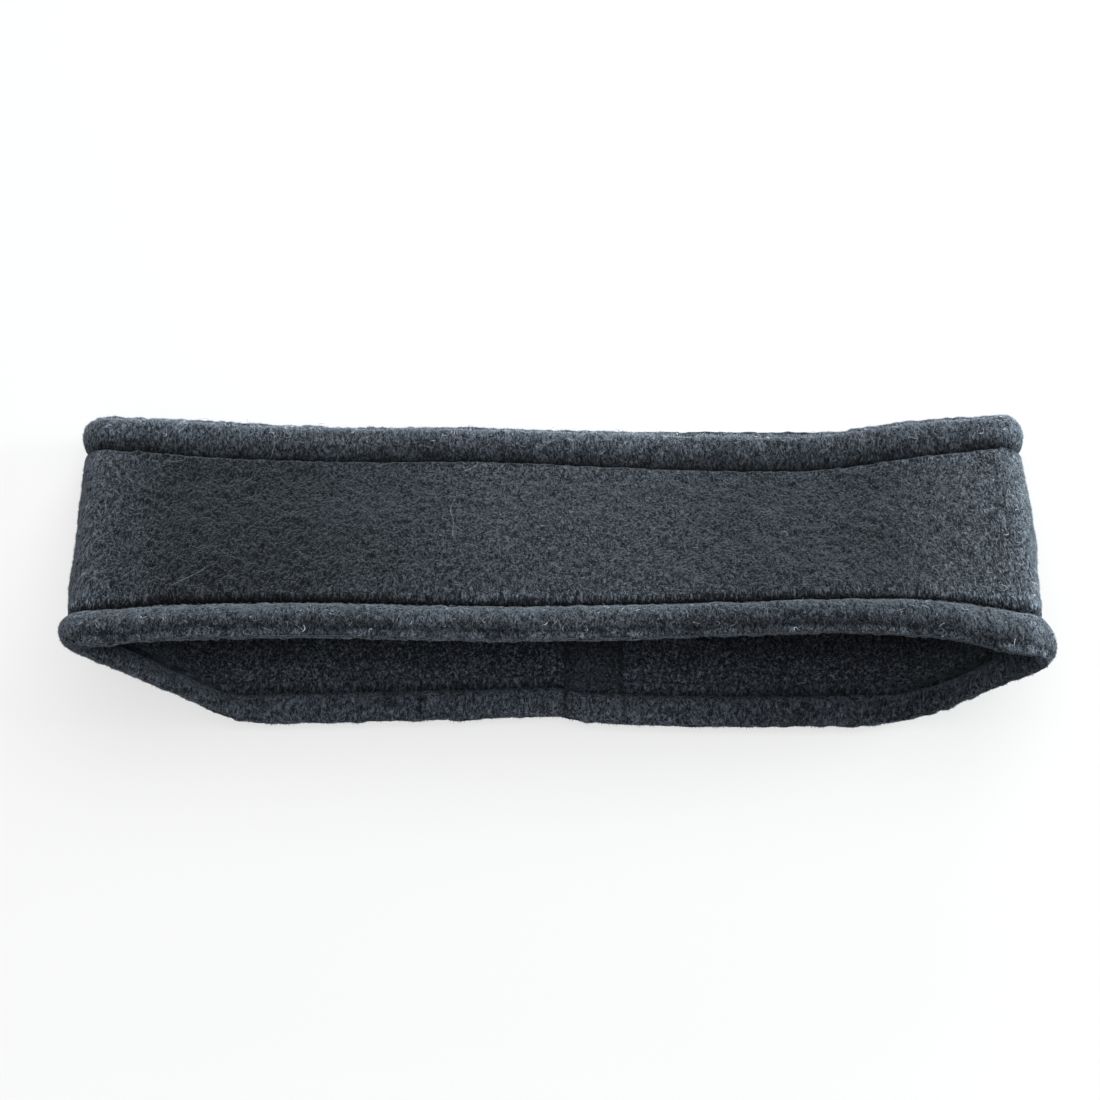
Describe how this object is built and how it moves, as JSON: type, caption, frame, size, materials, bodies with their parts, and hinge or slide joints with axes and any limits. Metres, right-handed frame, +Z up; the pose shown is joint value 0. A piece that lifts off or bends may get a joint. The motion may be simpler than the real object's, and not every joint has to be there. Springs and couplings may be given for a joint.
{
  "type": "fleece headband",
  "caption": "Wide charcoal fleece headband, a sewn loop with turned and stitched hems, lying on its back wall with its mouth open.",
  "frame": {"origin": "on the floor under the middle of the lying headband's box", "axes": "+Z up, +X along the wide front wall to the right as seen from the open mouth, +Y from the open lower edge to the flat upper edge"},
  "size_m": [0.253, 0.0972, 0.0427],
  "materials": {
    "fleece": "brushed pile, matte charcoal grey",
    "hem_fleece": "brushed pile, matte charcoal grey, puffed between stitch line and edge",
    "seam_fleece": "brushed pile, matte charcoal grey, pressed flat"
  },
  "bodies": {
    "root": {"band_panel": "fleece", "bottom_hem": "hem_fleece", "top_hem": "hem_fleece", "back_seam": "seam_fleece"}
  },
  "joints": []
}
